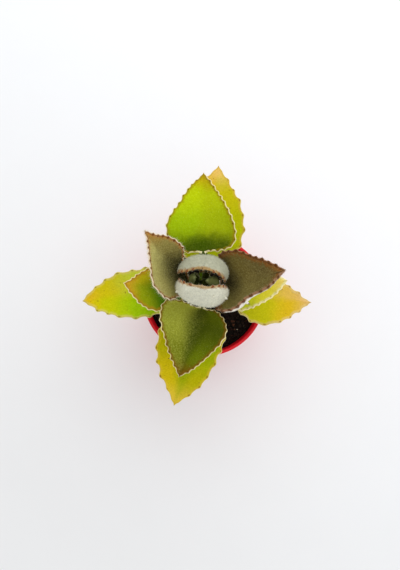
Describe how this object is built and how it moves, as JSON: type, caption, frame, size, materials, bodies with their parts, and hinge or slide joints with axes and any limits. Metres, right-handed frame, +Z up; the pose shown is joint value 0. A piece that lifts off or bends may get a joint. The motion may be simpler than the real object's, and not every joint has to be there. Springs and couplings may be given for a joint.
{
  "type": "potted succulent",
  "caption": "A young felt-leaved succulent with toothed, folded leaves in crossed pairs up a short stem, growing in a round tapered plastic nursery pot.",
  "frame": {"origin": "centre of the pot's underside", "axes": "+Z up along the stem, +Y towards the leaves that point up in the picture, +X towards the leaves at its right"},
  "size_m": [0.1619, 0.1679, 0.1548],
  "materials": {
    "pot_plastic": "satin",
    "potting_mix": "matte",
    "stem": "matte",
    "leaf_pair1": "matte",
    "leaf_pair2": "matte",
    "leaf_pair3": "matte",
    "leaf_pair4": "matte",
    "leaf_pair5": "matte",
    "leaf_pair6": "matte",
    "leaf_pair7": "matte"
  },
  "bodies": {
    "root": {"pot": "pot_plastic", "soil": "potting_mix", "stem": "stem", "leaf_pair1_west": "leaf_pair1", "leaf_pair1_east": "leaf_pair1", "leaf_pair2_north": "leaf_pair2", "leaf_pair2_south": "leaf_pair2", "leaf_pair3_west": "leaf_pair3", "leaf_pair3_east": "leaf_pair3", "leaf_pair4_north": "leaf_pair4", "leaf_pair4_south": "leaf_pair4", "leaf_pair5_west": "leaf_pair5", "leaf_pair5_east": "leaf_pair5", "leaf_pair6_north": "leaf_pair6", "leaf_pair6_south": "leaf_pair6", "leaf_pair7_west": "leaf_pair7", "leaf_pair7_east": "leaf_pair7"}
  },
  "joints": []
}
